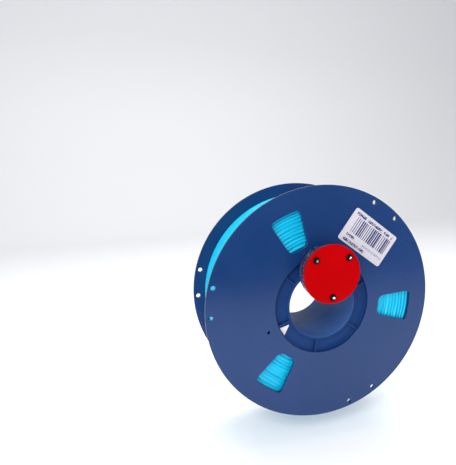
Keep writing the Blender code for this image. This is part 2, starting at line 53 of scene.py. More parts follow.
# ---- places and sizes, from the frame where it holds them -------------------------------
RIM_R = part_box("front_spool_half")[1].x
RIM_EDGE = 0.0004
FACE = -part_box("front_spool_half")[0].y
WINDING_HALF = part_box("filament_winding")[1].y
TOP_LAYER_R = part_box("filament_winding")[1].x
FLANGE_THICKNESS = 0.003
FLANGE_INNER = FACE - FLANGE_THICKNESS
BARREL_R = 0.049
BARREL_WALL = 0.002
BORE_R = 0.029
BORE_WALL = 0.0025
BORE_LIP_DROP, BORE_LIP_ROUND = 0.0008, 0.0012
RECESS_R = 0.042
RECESS_DEPTH = 0.0035
RECESS_FLOOR, RECESS_FILLET = 0.002, 0.0006
RIB_COUNT, RIB_START = 6, 21.0
RIB_THICKNESS, RIB_DROP = 0.0016, 0.001
FEATURE_REPEAT, FIRST_PAIR_ANGLE = 3, 53.0
RIM_HOLE_R, RIM_HOLE_DIAMETER, RIM_HOLE_SPACING = RIM_R - 0.0042, 0.004, 0.0248
WINDOW_OUTER_R, WINDOW_INNER_R = RIM_R - 0.0165, BARREL_R + 0.0032
WINDOW_OUTER_WIDTH, WINDOW_INNER_WIDTH = 0.0272, 0.0165
WINDOW_OUTER_FILLET, WINDOW_INNER_FILLET = 0.003, 0.006
START_HOLE_DIAMETER, START_HOLE_ANGLE = 0.0025, 201.0
LABEL_LENGTH, LABEL_HEIGHT = 0.0478, 0.030
LABEL_R = (WINDOW_OUTER_R + WINDOW_INNER_R) / 2

STRAND_R = 0.000875
LAYER_RISE = STRAND_R * sqrt(3)
TOP_STRAND_R = TOP_LAYER_R - STRAND_R
LOWER_STRAND_R = TOP_STRAND_R - LAYER_RISE
TOP_LAYER_SHARE = 0.30

ROLLER_Z = (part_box("roller_shaft")[0].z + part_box("roller_shaft")[1].z) / 2
HUB_Z = (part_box("front_outer_plate")[0].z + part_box("front_outer_plate")[1].z) / 2
PLATE_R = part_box("front_outer_plate")[1].x
INNER_HUB_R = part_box("front_backing_plate")[1].x
SCREW_CIRCLE_R, SCREW_ANGLES = PLATE_R - 0.0052, (41.5, 138.5, 270.0)
SCREW_R, SCREW_HEAD_HEIGHT = 0.00145, 0.00165
SOCKET_FLAT_R, SOCKET_DEPTH = 0.001, 0.0011
RUBBED = "rubbed"
NOTCH_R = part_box("front_bearing_outer_race")[1].x + 0.0003
ROLLER_BORE_R = 0.0042
INNER_RACE_R, OUTER_RACE_BORE_R = 0.0054, 0.0068
SHIELD_BORE_R, SHIELD_GROOVE_R, SHIELD_GROOVE_DEPTH = 0.0056, 0.0061, 0.00006
FLOOR_Z, FLOOR_REACH = -RIM_R - 0.024, 0.44


# ---- outlines ---------------------------------------------------------------------------
def polar(radius, angle):
    """(x, z) at a radius and an angle in degrees."""
    return radius * cos(radians(angle)), radius * sin(radians(angle))


def circle(radius, segments, centre=(0.0, 0.0)):
    """Points of a circle about a centre."""
    turns = [2 * pi * step / segments for step in range(segments)]
    return [(centre[0] + radius * cos(turn), centre[1] + radius * sin(turn)) for turn in turns]


def arc(centre, radii, start, end, steps):
    """Points of an arc about a centre, its angles in degrees, without its first point."""
    points = []
    for step in range(1, steps + 1):
        turn = radians(start + (end - start) * step / steps)
        points.append((centre[0] + radii[0] * cos(turn), centre[1] + radii[1] * sin(turn)))
    return points


def hexagon(flat_radius, first):
    """Corners of a hexagon from the radius to its flats, the first at an angle in degrees."""
    return [polar(flat_radius / cos(radians(30)), angle) for angle in range(first, first + 360, 60)]


def rounded(corners, steps=8):
    """An outline from (x, z, fillet) corners, with each fillet drawn as an arc."""
    outline = []
    for index, (x, z, fillet) in enumerate(corners):
        corner = Vector((x, z))
        if fillet <= 0:
            outline.append((x, z))
            continue
        before = (Vector(corners[index - 1][:2]) - corner).normalized()
        after = (Vector(corners[(index + 1) % len(corners)][:2]) - corner).normalized()
        half = before.angle(after) / 2
        reach = fillet / tan(half)
        centre = corner + (before + after).normalized() * fillet / sin(half)
        start, end = corner + before * reach - centre, corner + after * reach - centre
        sweep = start.angle_signed(end)
        for step in range(steps + 1):
            turn = -sweep * step / steps
            outline.append((centre.x + start.x * cos(turn) - start.y * sin(turn),
                            centre.y + start.x * sin(turn) + start.y * cos(turn)))
    return outline


def turned_outline(outline, angle):
    """Turn an outline about the axis by an angle in degrees."""
    turn = radians(angle)
    return [(x * cos(turn) - z * sin(turn), x * sin(turn) + z * cos(turn)) for x, z in outline]


def window_outline():
    """A flange window about +X: a rounded wedge whose outer edge follows the rim."""
    outer, inner = WINDOW_OUTER_WIDTH / 2, WINDOW_INNER_WIDTH / 2
    reach = sqrt(WINDOW_OUTER_R ** 2 - outer ** 2)
    corners = [(WINDOW_INNER_R, -inner, WINDOW_INNER_FILLET), (reach, -outer, WINDOW_OUTER_FILLET)]
    for step in range(-3, 4):
        z = step / 3 * outer * 0.72
        corners.append((sqrt(WINDOW_OUTER_R ** 2 - z ** 2), z, 0.0))
    corners += [(reach, outer, WINDOW_OUTER_FILLET), (WINDOW_INNER_R, inner, WINDOW_INNER_FILLET)]
    return rounded(corners)


def rim_hole_angles():
    """Angles of the rim holes, in pairs."""
    half = degrees(asin(RIM_HOLE_SPACING / 2 / RIM_HOLE_R))
    return [FIRST_PAIR_ANGLE + 360.0 / FEATURE_REPEAT * index + side * half
            for index in range(FEATURE_REPEAT) for side in (-1, 1)]


def screw_places():
    """(x, z) of the screws, two above and one below the hub's centre."""
    return [(x, z + HUB_Z) for x, z in (polar(SCREW_CIRCLE_R, angle) for angle in SCREW_ANGLES)]


# ---- mesh makers ------------------------------------------------------------------------
def finish_mesh(bm, name, sharp=38.0):
    """A mesh facing out, shaded smooth except across its sharp edges."""
    bmesh.ops.recalc_face_normals(bm, faces=bm.faces)
    mesh = bpy.data.meshes.new(name)
    bm.to_mesh(mesh)
    bm.free()
    mesh.shade_smooth()
    mesh.set_sharp_from_angle(angle=radians(sharp))
    return mesh


def skin(bm, loops, closed):
    """Faces between neighbouring loops of vertices, with end caps where it isn't closed."""
    count = len(loops)
    for index in range(count if closed else count - 1):
        near, far = loops[index], loops[(index + 1) % count]
        size = len(near)
        for step in range(size):
            after = (step + 1) % size
            bm.faces.new((near[step], near[after], far[after], far[step]))
    if not closed:
        bm.faces.new(loops[0])
        bm.faces.new(list(reversed(loops[-1])))


def turned(profile, segments, closed=True, centre=(0.0, 0.0)):
    """Turn a (radius, y) profile about an axis along Y through a centre (x, z)."""
    bm = bmesh.new()
    loops = []
    for radius, y in profile:
        loops.append([bm.verts.new((x, y, z)) for x, z in circle(radius, segments, centre)])
    skin(bm, loops, closed)
    return bm


def softened(profile, radius):
    """Round the corners of a closed (radius, y) profile with small arcs."""
    return rounded([(r, y, radius) for r, y in profile], 3)


def sheet_cut(name, outline, holes, low, high, edge):
    """A plate cut from sheet between two y values, every edge rounded, with its holes."""
    curve = bpy.data.curves.new(name, "CURVE")
    curve.dimensions = "2D"
    curve.fill_mode = "BOTH"
    curve.extrude = (high - low) / 2 - edge
    curve.bevel_depth = edge
    curve.bevel_resolution = 3
    curve.offset = -edge
    for points in (outline, *holes):
        spline = curve.splines.new("POLY")
        spline.use_cyclic_u = True
        spline.points.add(len(points) - 1)
        for point, (x, z) in zip(spline.points, points):
            point.co = (x, z, 0.0, 1.0)
    blank = bpy.data.objects.new(name, curve)
    bpy.context.collection.objects.link(blank)
    bpy.context.view_layer.update()
    raw = bpy.data.meshes.new_from_object(blank.evaluated_get(bpy.context.evaluated_depsgraph_get()))
    bpy.data.objects.remove(blank, do_unlink=True)
    bm = bmesh.new()
    bm.from_mesh(raw)
    middle = (low + high) / 2
    for vert in bm.verts:
        vert.co = (vert.co.x, middle + vert.co.z, vert.co.y)
    bmesh.ops.remove_doubles(bm, verts=bm.verts, dist=edge / 50)
    mesh = finish_mesh(bm, name, sharp=50.0)
    flat_edges(mesh)
    return mesh


def flat_edges(mesh):
    """Mark the borders of the flat faces sharp, so that their shading stays flat."""
    bm = bmesh.new()
    bm.from_mesh(mesh)
    for edge in bm.edges:
        if sum(abs(face.normal.y) > 0.9999 for face in edge.link_faces) == 1:
            edge.smooth = False
    bm.to_mesh(mesh)
    bm.free()


def joined(meshes, name):
    """Several closed bodies in one mesh."""
    bm = bmesh.new()
    for mesh in meshes:
        bm.from_mesh(mesh)
    result = bpy.data.meshes.new(name)
    bm.to_mesh(result)
    bm.free()
    return result


def tube(points, radius, sides, name):
    """A closed round tube through points, its section square to the path."""
    verts, faces = [], []
    last = len(points) - 1
    for index, point in enumerate(points):
        along = (points[min(index + 1, last)] - points[max(index - 1, 0)]).normalized()
        out = Vector((point.x, 0.0, point.z))
        out = (out - along * out.dot(along)).normalized()
        across = along.cross(out)
        for side in range(sides):
            turn = 2 * pi * side / sides
            verts.append(point + (out * cos(turn) + across * sin(turn)) * radius)
    for index in range(last):
        for side in range(sides):
            a, b = index * sides + side, index * sides + (side + 1) % sides
            faces.append((a, b, b + sides, a + sides))
    faces.append(tuple(reversed(range(sides))))
    faces.append(tuple(range(last * sides, (last + 1) * sides)))
    mesh = bpy.data.meshes.new(name)
    mesh.from_pydata(verts, [], faces)
    bm = bmesh.new()
    bm.from_mesh(mesh)
    return finish_mesh(bm, name, sharp=60.0)


def carved(mesh, cutter, name):
    """A mesh with a hollow cut into it by an exact Boolean."""
    body = bpy.data.objects.new(f"{name}_blank", mesh)
    tool = bpy.data.objects.new(f"{name}_tool", cutter)
    for obj in (body, tool):
        bpy.context.collection.objects.link(obj)
    cut = body.modifiers.new("cut", "BOOLEAN")
    cut.object = tool
    cut.solver = "EXACT"
    bpy.context.view_layer.update()
    result = bpy.data.meshes.new_from_object(body.evaluated_get(bpy.context.evaluated_depsgraph_get()))
    for obj in (body, tool):
        bpy.data.objects.remove(obj, do_unlink=True)
    return result


def piece(name, mesh, material, body, slot, *nodes, place=None):
    """A visible piece on a body, with its finish, standing for the CAD nodes named."""
    obj = bpy.data.objects.new(name, mesh)
    bpy.context.collection.objects.link(obj)
    if place is not None:
        obj.matrix_world = place
    mesh.materials.clear()
    mesh.materials.append(material)
    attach(obj, body)
    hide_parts(*nodes)


# ---- materials --------------------------------------------------------------------------
class Finish:
    """A Principled material with short calls for its procedural nodes."""

    def __init__(self, name, colour, roughness, metallic=0.0, **sockets):
        self.material = bpy.data.materials.new(name)
        self.material.use_nodes = True
        self.tree = self.material.node_tree
        self.shader = self.tree.nodes["Principled BSDF"]
        self.put("Base Color", (*colour, 1.0))
        self.put("Roughness", roughness)
        self.put("Metallic", metallic)
        for socket, value in sockets.items():
            self.put(socket.replace("_", " "), value)
        self.coords = self.tree.nodes.new("ShaderNodeTexCoord")

    def put(self, socket, value):
        self.shader.inputs[socket].default_value = value

    def node(self, kind, settings=None, **inputs):
        """A node with its inputs set or linked, by name or as i and a number."""
        made = self.tree.nodes.new("ShaderNode" + kind)
        for key, value in (settings or {}).items():
            setattr(made, key, value)
        for key, value in inputs.items():
            index = int(key[1:]) if key[1:].isdigit() else key.replace("_", " ")
            socket = made.inputs[index]
            if isinstance(value, bpy.types.NodeSocket):
                self.tree.links.new(value, socket)
            else:
                socket.default_value = value
        return made

    def stretched(self, scale):
        """Object coordinates stretched along the axes."""
        return self.node("Mapping", Vector=self.coords.outputs["Object"], Scale=scale).outputs[0]

    def noise(self, scale, detail=3.0, rough=0.5, vector=None):
        vector = vector or self.coords.outputs["Object"]
        made = self.node("TexNoise", Vector=vector, Scale=scale, Detail=detail, Roughness=rough)
        return made.outputs["Fac"]

    def spread(self, value, low, high, out_low, out_high):
        """One range of values stretched to another, and held at its ends."""
        made = self.node("MapRange", Value=value, From_Min=low, From_Max=high,
                         To_Min=out_low, To_Max=out_high)
        return made.outputs[0]

    def point(self, **parts):
        """A vector from values along X, Y and Z."""
        return self.node("CombineXYZ", **parts).outputs[0]

    def random(self, **parts):
        """A random value from 0 to 1 for each point."""
        return self.node("TexWhiteNoise", Vector=self.point(**parts)).outputs["Value"]

    def axes(self):
        """The object coordinates as values along X, Y and Z."""
        return self.node("SeparateXYZ", Vector=self.coords.outputs["Object"]).outputs

    def math(self, operation, a, b=0.0):
        return self.node("Math", {"operation": operation}, i0=a, i1=b).outputs[0]

    def mix(self, factor, a, b):
        made = self.node("Mix", {"data_type": "RGBA"}, i0=factor)
        for index, value in ((6, a), (7, b)):
            if isinstance(value, bpy.types.NodeSocket):
                self.tree.links.new(value, made.inputs[index])
            else:
                made.inputs[index].default_value = (*value, 1.0)
        return made.outputs[2]

    def tones(self, value, low, high, first, second):
        """A colour that goes from one tone to another as a value rises."""
        return self.mix(self.spread(value, low, high, 0.0, 1.0), first, second)

    def wire(self, output, socket):
        self.tree.links.new(output, self.shader.inputs[socket])

    def bump(self, height, strength, distance, after=None):
        made = self.node("Bump", Height=height, Strength=strength, Distance=distance)
        if after:
            self.tree.links.new(after, made.inputs["Normal"])
        return made.outputs[0]

    def radial(self):
        """Radius from the Y axis and the angle about it, for turned and moulded faces."""
        x, _, z = self.axes()
        squares = self.math("ADD", self.math("MULTIPLY", x, x), self.math("MULTIPLY", z, z))
        return self.math("SQRT", squares), self.math("ARCTAN2", z, x)


def spool_plastic(name, rough, gloss, rim_gloss=None):
    """Dark navy moulded plastic, a little cloudy, with handling marks.

    Its colour is paler inside the bore, a painted light, and darker round the rim, a painted shade; the rim
    is duller there too if it has a gloss.
    """
    finish = Finish(name, (0.006, 0.030, 0.125), rough, Specular_IOR_Level=gloss)
    cloud = finish.noise(11.0, 4.0, 0.55)
    tone = finish.tones(cloud, 0.32, 0.70, (0.003, 0.025, 0.104), (0.006, 0.033, 0.132))
    radius, angle = finish.radial()
    around = finish.point(X=finish.math("MULTIPLY", radius, 700.0), Y=finish.math("MULTIPLY", angle, 0.8))
    rings = finish.noise(1.0, 4.0, 0.6, around)
    scuffs = finish.noise(75.0, 8.0, 0.75, finish.stretched((1.0, 1.0, 4.0)))
    marks = finish.spread(scuffs, 0.62, 0.74, 0.0, 1.0)
    dusty = finish.mix(finish.math("MULTIPLY", marks, 0.06), tone, (0.12, 0.16, 0.25))
    bore = finish.math("LESS_THAN", radius, BORE_R + 0.0004)
    rim = finish.math("GREATER_THAN", radius, RIM_R - 0.0003)
    # Painted light: the colour is paler inside the bore, standing in for light that the deep bore does not
    # get.
    painted_bore_light = finish.mix(bore, dusty, (0.034, 0.088, 0.250))
    # Painted shade: the colour is darker round the rim.
    finish.wire(finish.mix(rim, painted_bore_light, (0.003, 0.015, 0.062)), "Base Color")
    if rim_gloss is not None:
        finish.wire(finish.spread(rim, 0.0, 1.0, gloss, rim_gloss), "Specular IOR Level")
    satin = finish.spread(cloud, 0.3, 0.7, rough - 0.04, rough + 0.04)
    satin = finish.math("ADD", satin, finish.math("MULTIPLY", marks, 0.10))
    finish.wire(finish.math("ADD", satin, finish.spread(rings, 0.4, 0.6, -0.015, 0.015)), "Roughness")
    waves = finish.bump(finish.noise(16.0, 2.0), 0.05, 0.0006)
    peel = finish.bump(finish.noise(1600.0, 2.0), 0.05, 0.0001, waves)
    finish.wire(finish.bump(rings, 0.015, 0.0001, peel), "Normal")
    return finish.material


def silk_filament():
    """Silky drawn strand: a pearly cyan that shifts a little along the strand."""
    deep, bright = (0.001, 0.35, 0.58), (0.001, 0.51, 0.74)
    finish = Finish("silk_filament", bright, 0.30, 0.20, Specular_IOR_Level=0.35)
    radius, angle = finish.radial()
    y = finish.axes()[1]

    def wound(across, beside, around):
        """Coordinates scaled across the layers, beside the turns and around the axis."""
        return finish.point(X=finish.math("MULTIPLY", radius, across), Y=finish.math("MULTIPLY", y, beside),
                            Z=finish.math("MULTIPLY", angle, around))

    drift = finish.noise(1.0, 3.0, 0.6, wound(700.0, 560.0, 2.2))
    finish.wire(finish.tones(drift, 0.30, 0.72, deep, bright), "Base Color")
    finish.wire(finish.spread(drift, 0.3, 0.7, 0.24, 0.38), "Roughness")
    streaks = finish.noise(1.0, 4.0, 0.6, wound(9000.0, 9000.0, 9.0))
    finish.wire(finish.bump(streaks, 0.18, 0.00008), "Normal")
    return finish.material


def red_acrylic():
    """Polished red sheet with faint scratches and a saw-cut haze."""
    finish = Finish("red_acrylic", (0.35, 0.0003, 0.001), 0.22, Specular_IOR_Level=0.02)
    cloud = finish.noise(35.0, 3.0)
    finish.wire(finish.tones(cloud, 0.3, 0.7, (0.33, 0.0002, 0.0008), (0.375, 0.0003, 0.0018)), "Base Color")
    scratch = finish.noise(120.0, 9.0, 0.8, finish.stretched((1.0, 1.0, 9.0)))
    finish.wire(finish.spread(scratch, 0.55, 0.75, 0.20, 0.36), "Roughness")
    finish.wire(finish.bump(finish.noise(900.0, 2.0), 0.04, 0.0001), "Normal")
    return finish.material


def black_oxide():
    """Blackened steel, with the inside of the socket rubbed bright by the key."""
    finish = Finish("black_oxide", (0.002, 0.002, 0.002), 0.12, Specular_IOR_Level=0.05)
    grain = finish.noise(1800.0, 3.0)
    worn = finish.node("Attribute", {"attribute_name": RUBBED}).outputs["Fac"]
    finish.wire(finish.mix(worn, (0.002, 0.002, 0.002), (0.92, 0.93, 0.95)), "Base Color")
    finish.wire(worn, "Metallic")
    finish.wire(finish.spread(grain, 0.3, 0.7, 0.08, 0.18), "Roughness")
    finish.wire(finish.bump(grain, 0.05, 0.00003), "Normal")
    return finish.material


def plain_metal(name, colour, rough, stretch):
    """Bright metal with fine machining lines along its work."""
    finish = Finish(name, colour, rough, 1.0)
    lines = finish.noise(300.0, 6.0, 0.7, finish.stretched(stretch))
    tint = tuple(c * 0.82 for c in colour)
    finish.wire(finish.tones(lines, 0.35, 0.65, tint, colour), "Base Color")
    finish.wire(finish.spread(lines, 0.3, 0.7, rough - 0.06, rough + 0.10), "Roughness")
    finish.wire(finish.bump(lines, 0.06, 0.00005), "Normal")
    return finish.material


def tinted_clear():
    """Clear acrylic with a violet tint and faint sawn haze."""
    finish = Finish("tinted_clear", (0.40, 0.27, 0.56), 0.08, Transmission_Weight=0.95, IOR=1.30)
    haze = finish.noise(260.0, 6.0, 0.7, finish.stretched((1.0, 6.0, 1.0)))
    finish.wire(finish.spread(haze, 0.35, 0.70, 0.05, 0.16), "Roughness")
    cloud = finish.noise(40.0)
    finish.wire(finish.tones(cloud, 0.3, 0.7, (0.34, 0.22, 0.50), (0.46, 0.31, 0.62)), "Base Color")
    return finish.material


def frosted_sheet():
    """Frosted clear sheet, slightly grey, with a fine grain."""
    finish = Finish("frosted_sheet", (0.34, 0.38, 0.46), 0.16, Transmission_Weight=0.92, IOR=1.30)
    grain = finish.noise(700.0, 4.0, 0.6)
    finish.wire(finish.tones(grain, 0.35, 0.65, (0.28, 0.32, 0.40), (0.40, 0.44, 0.52)), "Base Color")
    finish.wire(finish.spread(finish.noise(50.0, 4.0), 0.3, 0.7, 0.12, 0.22), "Roughness")
    finish.wire(finish.bump(grain, 0.03, 0.0001), "Normal")
    return finish.material


def sleeve_plastic():
    """Pale translucent tube, slightly blue."""
    finish = Finish("sleeve_plastic", (0.70, 0.78, 0.88), 0.30,
                    Subsurface_Weight=0.35, Subsurface_Scale=0.002)
    lines = finish.noise(140.0, 5.0, 0.6, finish.stretched((1.0, 0.15, 1.0)))
    finish.wire(finish.tones(lines, 0.3, 0.7, (0.62, 0.71, 0.84), (0.76, 0.83, 0.91)), "Base Color")
    finish.wire(finish.spread(lines, 0.3, 0.7, 0.24, 0.38), "Roughness")
    finish.wire(finish.bump(lines, 0.06, 0.0001), "Normal")
    return finish.material


def label_paper():
    """White sticker with generic bars and rows of dashes that spell nothing."""
    finish = Finish("label_paper", (0.66, 0.65, 0.70), 0.45, Specular_IOR_Level=0.2)
    x, _, z = finish.axes()

    def between(value, low, high):
        above = finish.math("GREATER_THAN", value, low)
        return finish.math("MULTIPLY", above, finish.math("LESS_THAN", value, high))

    def inside(x_low, x_high, z_low, z_high):
        return finish.math("MULTIPLY", between(x, x_low, x_high), between(z, z_low, z_high))

    def random_cells(width, height, limit, seed):
        """Cells of a grid, or columns where there is no height, inked at random."""
        column = finish.math("FLOOR", finish.math("DIVIDE", x, width))
        row = finish.math("FLOOR", finish.math("DIVIDE", z, height)) if height else seed
        return finish.math("GREATER_THAN", finish.random(X=column, Y=row, Z=seed), limit)

    step = finish.math("DIVIDE", x, 0.00195)
    cell = finish.math("FLOOR", step)
    width = finish.spread(finish.random(X=cell, Y=7.0), 0.0, 1.0, 0.22, 0.78)
    bars = finish.math("LESS_THAN", finish.math("SUBTRACT", step, cell), width)
    ink = finish.math("MULTIPLY", inside(-0.0180, 0.0203, -0.0046, 0.0092), bars)
    lines = ((-0.0206, 0.0204, 0.0103, 0.0127), (-0.0196, -0.0079, -0.0088, -0.0066),
             (-0.0194, 0.0040, -0.0134, -0.0110))
    for index, place in enumerate(lines):
        strokes = finish.math("MULTIPLY", random_cells(0.00042, 0.00060, 0.36, 11.0 + index),
                              random_cells(0.0021, None, 0.22, 31.0 + index))
        ink = finish.math("MAXIMUM", ink, finish.math("MULTIPLY", inside(*place), strokes))
    pale = finish.math("MULTIPLY", random_cells(0.00042, 0.00045, 0.45, 51.0),
                       inside(-0.0010, 0.0215, -0.0096, -0.0074))
    fibre = finish.noise(500.0, 5.0, 0.65)
    paper = finish.tones(fibre, 0.3, 0.7, (0.44, 0.425, 0.475), (0.50, 0.485, 0.53))
    greyed = finish.mix(finish.math("MULTIPLY", pale, 0.75), paper, (0.16, 0.16, 0.26))
    finish.wire(finish.mix(ink, greyed, (0.010, 0.012, 0.095)), "Base Color")
    finish.wire(finish.spread(ink, 0.0, 1.0, 0.48, 0.34), "Roughness")
    finish.wire(finish.bump(fibre, 0.08, 0.00008), "Normal")
    return finish.material


def mark_white():
    """White print, thin at its grain."""
    finish = Finish("mark_white", (0.58, 0.58, 0.58), 0.45)
    grain = finish.noise(900.0, 4.0, 0.6)
    finish.wire(finish.tones(grain, 0.35, 0.70, (0.50, 0.50, 0.51), (0.63, 0.63, 0.63)), "Base Color")
    finish.wire(finish.bump(grain, 0.10, 0.0001), "Normal")
    return finish.material


# ---- the spool --------------------------------------------------------------------------
def build_flange(end, side, plastic):
    """The flange disc: windows, paired rim holes and start hole, all with moulded edges."""
    holes = [circle(RECESS_R, 192)]
    for index in range(FEATURE_REPEAT):
        holes.append(turned_outline(window_outline(), FIRST_PAIR_ANGLE + 60.0 + 120.0 * index))
    for angle in rim_hole_angles():
        holes.append(circle(RIM_HOLE_DIAMETER / 2, 32, polar(RIM_HOLE_R, angle)))
    holes.append(circle(START_HOLE_DIAMETER / 2, 24, polar(BARREL_R + START_HOLE_DIAMETER, START_HOLE_ANGLE)))
    low, high = sorted((side * FACE, side * FLANGE_INNER))
    mesh = sheet_cut(f"{end}_flange", circle(RIM_R, 288), holes, low, high, RIM_EDGE)
    piece(f"{end}_flange", mesh, plastic, "spool", "spool_plastic", f"{end}_spool_half")


def core_profile():
    """Section of the core half: bore lip and tube, recess floor with its fillets, barrel."""
    lip = FACE - BORE_LIP_DROP - BORE_LIP_ROUND
    floor_out, floor_in = FACE - RECESS_DEPTH, FACE - RECESS_DEPTH - RECESS_FLOOR
    outer = BORE_R + BORE_WALL
    seam, middle = 0.00025, 0.0001
    fillet = RECESS_FILLET
    return [
        (BORE_R + seam, middle), (BORE_R, middle + seam), (BORE_R, lip),
        *arc((BORE_R + BORE_WALL / 2, lip), (BORE_WALL / 2, BORE_LIP_ROUND), 180, 0, 6),
        (outer, floor_out + fillet),
        *arc((outer + fillet, floor_out + fillet), (fillet, fillet), 180, 270, 3),
        (RECESS_R - fillet, floor_out),
        *arc((RECESS_R - fillet, floor_out + fillet), (fillet * 1.3, fillet), -90, 0, 3),
        (BARREL_R, FLANGE_INNER + 0.0002), (BARREL_R, middle), (BARREL_R - BARREL_WALL, middle),
        (BARREL_R - BARREL_WALL, floor_in), (outer, floor_in), (outer, middle),
    ]


def build_core(end, side, plastic):
    """The barrel half with its recess, its ribs and the bore tube."""
    bm = turned([(r, side * y) for r, y in core_profile()], 192)
    core = finish_mesh(bm, f"{end}_core", sharp=40.0)
    inner, outer, half = BORE_R + BORE_WALL - 0.0004, RECESS_R + 0.0003, RIB_THICKNESS / 2
    bar = [(inner, -half), (outer, -half), (outer, half), (inner, half)]
    low, high = sorted((side * (FACE - RECESS_DEPTH - 0.0006), side * (FACE - RIB_DROP)))
    ribs = [sheet_cut("rib", turned_outline(bar, RIB_START + 60.0 * index), [], low, high, 0.0003)
            for index in range(RIB_COUNT)]
    mesh = joined([core, *ribs], f"{end}_core")
    piece(f"{end}_core", mesh, plastic, "spool", "spool_plastic", f"{end}_spool_half")


def build_winding_body(filament):
    """The layers under the surface: each layer's end turn shows as a ridge on both sides."""
    rng = random.Random(7)
    inner = BARREL_R + 0.0003
    end = WINDING_HALF - STRAND_R
    layers = int((LOWER_STRAND_R - inner) / LAYER_RISE)
    segments = 200
    rows = [(inner, end, None)]
    for index in range(layers):
        centre = inner + STRAND_R + LAYER_RISE * index
        sunk = STRAND_R * (1.15 if index % 2 else 0.0)
        reach = 24 if index % 2 else 62
        for turn in (-reach, -reach / 2, 0, reach / 2, reach):
            rows.append((centre + STRAND_R * sin(radians(turn)),
                         WINDING_HALF - sunk - STRAND_R * (1 - cos(radians(turn))), index))
    phases = [[rng.uniform(0, 2 * pi) for _ in range(4)] for _ in range(layers)]
    heights = [rng.uniform(0.0, 0.00030) for _ in range(layers)]

    def wavering(radius, depth, layer, angle):
        """Radius and depth of a ridge, a little out of round."""
        if layer is None:
            return radius, depth
        a, b, c, d = phases[layer]
        sunk = heights[layer] + 0.00016 * (1 + sin(3 * angle + c)) + 0.00008 * (1 + sin(9 * angle + d))
        return radius + 0.00022 * sin(2 * angle + a) + 0.00012 * sin(5 * angle + b), depth - sunk

    bm = bmesh.new()
    loops = []
    for side in (1, -1):
        for radius, y, layer in rows[::side]:
            loop = []
            for step in range(segments):
                angle = 2 * pi * step / segments
                r, depth = wavering(radius, y, layer, angle)
                loop.append(bm.verts.new((r * cos(angle), side * depth, r * sin(angle))))
            loops.append(loop)
        if side > 0:
            shell = circle(LOWER_STRAND_R - STRAND_R * 0.3, segments)
            loops += [[bm.verts.new((x, y, z)) for x, z in shell] for y in (end, -end)]
    skin(bm, loops, closed=True)
    piece("winding_body", finish_mesh(bm, "winding_body", sharp=75.0), filament, "spool", "filament",
          "filament_winding")


def smooth_route(points, spacing):
    """Points at an even spacing along a Catmull-Rom curve through a route's own points."""
    ends = [2 * points[0] - points[1], *points, 2 * points[-1] - points[-2]]
    route = []
    for index in range(1, len(ends) - 2):
        a, b, c, d = ends[index - 1:index + 3]
        steps = max(2, int((c - b).length / spacing) + 1)
        for step in range(steps):
            t = step / steps
            route.append(0.5 * (2 * b + (c - a) * t + (2 * a - 5 * b + 4 * c - d) * t ** 2
                                + (3 * b - a - 3 * c + d) * t ** 3))
    route.append(points[-1])
    return route


def parked_route():
    """(angle, radius, y) from the last turn, across the winding and through the rim holes."""
    lie = TOP_STRAND_R + 0.0003
    beside = -WINDING_HALF + 2 * WINDING_HALF * TOP_LAYER_SHARE + STRAND_R + 0.0003
    near, far = sorted(rim_hole_angles()[-2:])
    inside, within, outside = FLANGE_INNER - 0.0022, FACE - FLANGE_THICKNESS / 2, FACE + 0.0012
    clear = FACE + 0.0003 + STRAND_R
    cross, climb = inside - 0.006 - beside, RIM_HOLE_R - lie
    return [
        (far + 80, lie, beside), (far + 62, lie, beside), (far + 46, lie, beside + 0.06 * cross),
        (far + 34, lie + 0.08 * climb, beside + 0.38 * cross),
        (far + 22, lie + 0.31 * climb, beside + 0.79 * cross),
        (far + 11, lie + 0.65 * climb, inside - 0.0060),
        (far + 5, RIM_HOLE_R - 0.0006, inside - 0.0024), (far + 0.9, RIM_HOLE_R, inside),
        (far, RIM_HOLE_R, within), (far - 0.6, RIM_HOLE_R, outside),
        (far - 3.0, RIM_HOLE_R, clear + 0.0015), ((near + far) / 2, RIM_HOLE_R, clear + 0.0022),
        (near + 3.0, RIM_HOLE_R, clear + 0.0015), (near + 0.6, RIM_HOLE_R, outside),
        (near, RIM_HOLE_R, within), (near - 0.9, RIM_HOLE_R, inside),
        (near - 4.0, RIM_HOLE_R - 0.0005, inside - 0.0034),
    ]


def build_strand(filament):
    """One unbroken strand: the surface layer, the part layer over it, and the parked end."""
    per_turn = 96
    first = WINDING_HALF - STRAND_R
    lower_turns = int(2 * first / (2.02 * STRAND_R))
    pitch = 2 * first / lower_turns
    parked = parked_route()
    top_width = parked[0][2] + first
    top_turns = round(top_width / pitch)
    total = lower_turns + top_turns
    start = parked[0][0] + 360.0 * total
    points = []
    for step in range(total * per_turn):
        turn = step / per_turn
        climb = min(max((turn - lower_turns + 0.06) / 0.12, 0.0), 1.0)
        climb = climb * climb * (3 - 2 * climb)
        radius = LOWER_STRAND_R + (TOP_STRAND_R - LOWER_STRAND_R) * climb
        if turn < lower_turns:
            y = first - pitch * turn
        else:
            y = -first + top_width * (turn - lower_turns) / top_turns
        y += noise.noise(Vector((turn * 1.3, 0.0, 4.0))) * 0.00016
        radius += noise.noise(Vector((turn * 2.1, 9.0, 0.0))) * 0.00012
        x, z = polar(radius, start - 360.0 * turn)
        points.append(Vector((x, min(max(y, -first), first), z)))
    unrolled = [Vector((radians(angle) * RIM_R, radius, y)) for angle, radius, y in parked]
    for along, radius, y in smooth_route(unrolled, 0.0022):
        x, z = polar(radius, degrees(along / RIM_R))
        points.append(Vector((x, y, z)))
    piece("filament_strand", tube(points, STRAND_R, 8, "filament_strand"), filament, "spool", "filament",
          "filament_winding", "filament_end")


